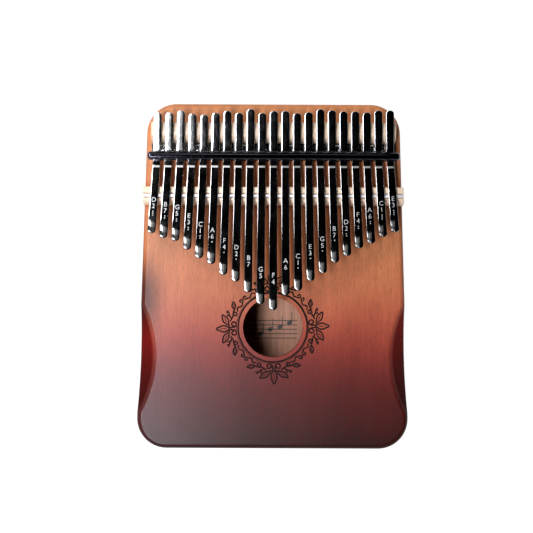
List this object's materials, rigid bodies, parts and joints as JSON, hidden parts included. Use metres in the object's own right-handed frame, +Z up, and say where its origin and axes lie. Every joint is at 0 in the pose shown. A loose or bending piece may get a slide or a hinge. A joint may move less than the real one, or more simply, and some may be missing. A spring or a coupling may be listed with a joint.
{
  "type": "box kalimba",
  "caption": "Hollow wooden thumb piano that lies on its back, with a round sound hole, a fan of plucked steel tines clamped over two maple bridges, and a scoop in each side.",
  "frame": {"origin": "middle of the underside of the back plate, with the instrument lying on its back", "axes": "+Z up, out of the soundboard; +Y along the body towards the tails of the tines; +X across, to the player's right"},
  "size_m": [0.1456, 0.185, 0.0503],
  "materials": {
    "mahogany_face": "satin lacquer, shaded from orange at the tails to dark maroon at the foot",
    "mahogany_body": "satin lacquer, darker towards the foot",
    "pale_brace": "raw, sanded",
    "maple": "satin clear lacquer",
    "spring_steel": "polished, brushed lengthways",
    "chromed_bar": "mirror polished",
    "polished_rod": "drawn and polished",
    "plated_bracket": "nickel plated",
    "plated_screw": "nickel plated"
  },
  "bodies": {
    "box": {"soundboard": "mahogany_face", "rim": "mahogany_body", "back_plate": "mahogany_body", "screw_block": "pale_brace", "front_bridge": "maple", "bridge_rod": "polished_rod", "rear_bridge": "maple", "bar_bracket": "plated_bracket", "pressure_bar": "chromed_bar", "bracket_screws": "plated_screw"},
    "tine_01_shank": {"tine_01_shank": "spring_steel"},
    "tine_01_tongue": {"tine_01_tongue": "spring_steel"},
    "tine_02_shank": {"tine_02_shank": "spring_steel"},
    "tine_02_tongue": {"tine_02_tongue": "spring_steel"},
    "tine_03_shank": {"tine_03_shank": "spring_steel"},
    "tine_03_tongue": {"tine_03_tongue": "spring_steel"},
    "tine_04_shank": {"tine_04_shank": "spring_steel"},
    "tine_04_tongue": {"tine_04_tongue": "spring_steel"},
    "tine_05_shank": {"tine_05_shank": "spring_steel"},
    "tine_05_tongue": {"tine_05_tongue": "spring_steel"},
    "tine_06_shank": {"tine_06_shank": "spring_steel"},
    "tine_06_tongue": {"tine_06_tongue": "spring_steel"},
    "tine_07_shank": {"tine_07_shank": "spring_steel"},
    "tine_07_tongue": {"tine_07_tongue": "spring_steel"},
    "tine_08_shank": {"tine_08_shank": "spring_steel"},
    "tine_08_tongue": {"tine_08_tongue": "spring_steel"},
    "tine_09_shank": {"tine_09_shank": "spring_steel"},
    "tine_09_tongue": {"tine_09_tongue": "spring_steel"},
    "tine_10_shank": {"tine_10_shank": "spring_steel"},
    "tine_10_tongue": {"tine_10_tongue": "spring_steel"},
    "tine_11_shank": {"tine_11_shank": "spring_steel"},
    "tine_11_tongue": {"tine_11_tongue": "spring_steel"},
    "tine_12_shank": {"tine_12_shank": "spring_steel"},
    "tine_12_tongue": {"tine_12_tongue": "spring_steel"},
    "tine_13_shank": {"tine_13_shank": "spring_steel"},
    "tine_13_tongue": {"tine_13_tongue": "spring_steel"},
    "tine_14_shank": {"tine_14_shank": "spring_steel"},
    "tine_14_tongue": {"tine_14_tongue": "spring_steel"},
    "tine_15_shank": {"tine_15_shank": "spring_steel"},
    "tine_15_tongue": {"tine_15_tongue": "spring_steel"},
    "tine_16_shank": {"tine_16_shank": "spring_steel"},
    "tine_16_tongue": {"tine_16_tongue": "spring_steel"},
    "tine_17_shank": {"tine_17_shank": "spring_steel"},
    "tine_17_tongue": {"tine_17_tongue": "spring_steel"},
    "tine_18_shank": {"tine_18_shank": "spring_steel"},
    "tine_18_tongue": {"tine_18_tongue": "spring_steel"},
    "tine_19_shank": {"tine_19_shank": "spring_steel"},
    "tine_19_tongue": {"tine_19_tongue": "spring_steel"},
    "tine_20_shank": {"tine_20_shank": "spring_steel"},
    "tine_20_tongue": {"tine_20_tongue": "spring_steel"},
    "tine_21_shank": {"tine_21_shank": "spring_steel"},
    "tine_21_tongue": {"tine_21_tongue": "spring_steel"}
  },
  "joints": [
    {"name": "tine_01_tuning", "type": "slide", "parent": "box", "child": "tine_01_shank", "axis": [-0.0471, -0.9989, 0], "range_m": [-0.0008, 0.0008]},
    {"name": "tine_01_flex", "type": "hinge", "parent": "tine_01_shank", "child": "tine_01_tongue", "pos_m": [-0.06302, 0.03983, 0.04022], "axis": [0.9989, -0.0471, 0], "range_deg": [-1.5, 3], "stiffness_Nm_per_rad": 10.23},
    {"name": "tine_02_tuning", "type": "slide", "parent": "box", "child": "tine_02_shank", "axis": [-0.0424, -0.9991, 0], "range_m": [-0.0008, 0.0008]},
    {"name": "tine_02_flex", "type": "hinge", "parent": "tine_02_shank", "child": "tine_02_tongue", "pos_m": [-0.05673, 0.03945, 0.04027], "axis": [0.9991, -0.0424, 0], "range_deg": [-1.5, 3], "stiffness_Nm_per_rad": 9.12},
    {"name": "tine_03_tuning", "type": "slide", "parent": "box", "child": "tine_03_shank", "axis": [-0.0377, -0.9993, 0], "range_m": [-0.0008, 0.0008]},
    {"name": "tine_03_flex", "type": "hinge", "parent": "tine_03_shank", "child": "tine_03_tongue", "pos_m": [-0.05044, 0.03922, 0.04031], "axis": [0.9993, -0.0377, 0], "range_deg": [-1.5, 3], "stiffness_Nm_per_rad": 8.56},
    {"name": "tine_04_tuning", "type": "slide", "parent": "box", "child": "tine_04_shank", "axis": [-0.033, -0.9995, 0], "range_m": [-0.0008, 0.0008]},
    {"name": "tine_04_flex", "type": "hinge", "parent": "tine_04_shank", "child": "tine_04_tongue", "pos_m": [-0.04415, 0.03854, 0.04041], "axis": [0.9995, -0.033, 0], "range_deg": [-1.5, 3], "stiffness_Nm_per_rad": 7.23},
    {"name": "tine_05_tuning", "type": "slide", "parent": "box", "child": "tine_05_shank", "axis": [-0.0283, -0.9996, 0], "range_m": [-0.0008, 0.0008]},
    {"name": "tine_05_flex", "type": "hinge", "parent": "tine_05_shank", "child": "tine_05_tongue", "pos_m": [-0.03787, 0.03787, 0.04051], "axis": [0.9996, -0.0283, 0], "range_deg": [-1.5, 3], "stiffness_Nm_per_rad": 6.26},
    {"name": "tine_06_tuning", "type": "slide", "parent": "box", "child": "tine_06_shank", "axis": [-0.0236, -0.9997, 0], "range_m": [-0.0008, 0.0008]},
    {"name": "tine_06_flex", "type": "hinge", "parent": "tine_06_shank", "child": "tine_06_tongue", "pos_m": [-0.03156, 0.03741, 0.04057], "axis": [0.9997, -0.0236, 0], "range_deg": [-1.5, 3], "stiffness_Nm_per_rad": 5.75},
    {"name": "tine_07_tuning", "type": "slide", "parent": "box", "child": "tine_07_shank", "axis": [-0.0188, -0.9998, 0], "range_m": [-0.0008, 0.0008]},
    {"name": "tine_07_flex", "type": "hinge", "parent": "tine_07_shank", "child": "tine_07_tongue", "pos_m": [-0.02527, 0.03659, 0.0407], "axis": [0.9998, -0.0188, 0], "range_deg": [-1.5, 3], "stiffness_Nm_per_rad": 4.99},
    {"name": "tine_08_tuning", "type": "slide", "parent": "box", "child": "tine_08_shank", "axis": [-0.0141, -0.9999, 0], "range_m": [-0.0008, 0.0008]},
    {"name": "tine_08_flex", "type": "hinge", "parent": "tine_08_shank", "child": "tine_08_tongue", "pos_m": [-0.01896, 0.03606, 0.04077], "axis": [0.9999, -0.0141, 0], "range_deg": [-1.5, 3], "stiffness_Nm_per_rad": 4.61},
    {"name": "tine_09_tuning", "type": "slide", "parent": "box", "child": "tine_09_shank", "axis": [-0.0094, -1, 0], "range_m": [-0.0008, 0.0008]},
    {"name": "tine_09_flex", "type": "hinge", "parent": "tine_09_shank", "child": "tine_09_tongue", "pos_m": [-0.01265, 0.03523, 0.0409], "axis": [1, -0.0094, 0], "range_deg": [-1.5, 3], "stiffness_Nm_per_rad": 4.11},
    {"name": "tine_10_tuning", "type": "slide", "parent": "box", "child": "tine_10_shank", "axis": [-0.0047, -1, 0], "range_m": [-0.0008, 0.0008]},
    {"name": "tine_10_flex", "type": "hinge", "parent": "tine_10_shank", "child": "tine_10_tongue", "pos_m": [-0.00633, 0.03433, 0.04103], "axis": [1, -0.0047, 0], "range_deg": [-1.5, 3], "stiffness_Nm_per_rad": 3.68},
    {"name": "tine_11_tuning", "type": "slide", "parent": "box", "child": "tine_11_shank", "axis": [0, -1, 0], "range_m": [-0.0008, 0.0008]},
    {"name": "tine_11_flex", "type": "hinge", "parent": "tine_11_shank", "child": "tine_11_tongue", "pos_m": [0, 0.03388, 0.0411], "axis": [1, 0, 0], "range_deg": [-1.5, 3], "stiffness_Nm_per_rad": 3.5},
    {"name": "tine_12_tuning", "type": "slide", "parent": "box", "child": "tine_12_shank", "axis": [0.0047, -1, 0], "range_m": [-0.0008, 0.0008]},
    {"name": "tine_12_flex", "type": "hinge", "parent": "tine_12_shank", "child": "tine_12_tongue", "pos_m": [0.00632, 0.03501, 0.04093], "axis": [1, 0.0047, 0], "range_deg": [-1.5, 3], "stiffness_Nm_per_rad": 4},
    {"name": "tine_13_tuning", "type": "slide", "parent": "box", "child": "tine_13_shank", "axis": [0.0094, -1, 0], "range_m": [-0.0008, 0.0008]},
    {"name": "tine_13_flex", "type": "hinge", "parent": "tine_13_shank", "child": "tine_13_tongue", "pos_m": [0.01264, 0.03538, 0.04088], "axis": [1, 0.0094, 0], "range_deg": [-1.5, 3], "stiffness_Nm_per_rad": 4.2},
    {"name": "tine_14_tuning", "type": "slide", "parent": "box", "child": "tine_14_shank", "axis": [0.0141, -0.9999, 0], "range_m": [-0.0008, 0.0008]},
    {"name": "tine_14_flex", "type": "hinge", "parent": "tine_14_shank", "child": "tine_14_tongue", "pos_m": [0.01896, 0.03613, 0.04076], "axis": [0.9999, 0.0141, 0], "range_deg": [-1.5, 3], "stiffness_Nm_per_rad": 4.66},
    {"name": "tine_15_tuning", "type": "slide", "parent": "box", "child": "tine_15_shank", "axis": [0.0188, -0.9998, 0], "range_m": [-0.0008, 0.0008]},
    {"name": "tine_15_flex", "type": "hinge", "parent": "tine_15_shank", "child": "tine_15_tongue", "pos_m": [0.02526, 0.03674, 0.04067], "axis": [0.9998, 0.0188, 0], "range_deg": [-1.5, 3], "stiffness_Nm_per_rad": 5.12},
    {"name": "tine_16_tuning", "type": "slide", "parent": "box", "child": "tine_16_shank", "axis": [0.0236, -0.9997, 0], "range_m": [-0.0008, 0.0008]},
    {"name": "tine_16_flex", "type": "hinge", "parent": "tine_16_shank", "child": "tine_16_tongue", "pos_m": [0.03156, 0.03756, 0.04055], "axis": [0.9997, 0.0236, 0], "range_deg": [-1.5, 3], "stiffness_Nm_per_rad": 5.91},
    {"name": "tine_17_tuning", "type": "slide", "parent": "box", "child": "tine_17_shank", "axis": [0.0283, -0.9996, 0], "range_m": [-0.0008, 0.0008]},
    {"name": "tine_17_flex", "type": "hinge", "parent": "tine_17_shank", "child": "tine_17_tongue", "pos_m": [0.03786, 0.03809, 0.04047], "axis": [0.9996, 0.0283, 0], "range_deg": [-1.5, 3], "stiffness_Nm_per_rad": 6.55},
    {"name": "tine_18_tuning", "type": "slide", "parent": "box", "child": "tine_18_shank", "axis": [0.033, -0.9995, 0], "range_m": [-0.0008, 0.0008]},
    {"name": "tine_18_flex", "type": "hinge", "parent": "tine_18_shank", "child": "tine_18_tongue", "pos_m": [0.04415, 0.03869, 0.04038], "axis": [0.9995, 0.033, 0], "range_deg": [-1.5, 3], "stiffness_Nm_per_rad": 7.49},
    {"name": "tine_19_tuning", "type": "slide", "parent": "box", "child": "tine_19_shank", "axis": [0.0377, -0.9993, 0], "range_m": [-0.0008, 0.0008]},
    {"name": "tine_19_flex", "type": "hinge", "parent": "tine_19_shank", "child": "tine_19_tongue", "pos_m": [0.05044, 0.03907, 0.04033], "axis": [0.9993, 0.0377, 0], "range_deg": [-1.5, 3], "stiffness_Nm_per_rad": 8.23},
    {"name": "tine_20_tuning", "type": "slide", "parent": "box", "child": "tine_20_shank", "axis": [0.0424, -0.9991, 0], "range_m": [-0.0008, 0.0008]},
    {"name": "tine_20_flex", "type": "hinge", "parent": "tine_20_shank", "child": "tine_20_tongue", "pos_m": [0.05672, 0.0396, 0.04025], "axis": [0.9991, 0.0424, 0], "range_deg": [-1.5, 3], "stiffness_Nm_per_rad": 9.53},
    {"name": "tine_21_tuning", "type": "slide", "parent": "box", "child": "tine_21_shank", "axis": [0.0471, -0.9989, 0], "range_m": [-0.0008, 0.0008]},
    {"name": "tine_21_flex", "type": "hinge", "parent": "tine_21_shank", "child": "tine_21_tongue", "pos_m": [0.06301, 0.03998, 0.04019], "axis": [0.9989, 0.0471, 0], "range_deg": [-1.5, 3], "stiffness_Nm_per_rad": 10.76}
  ]
}
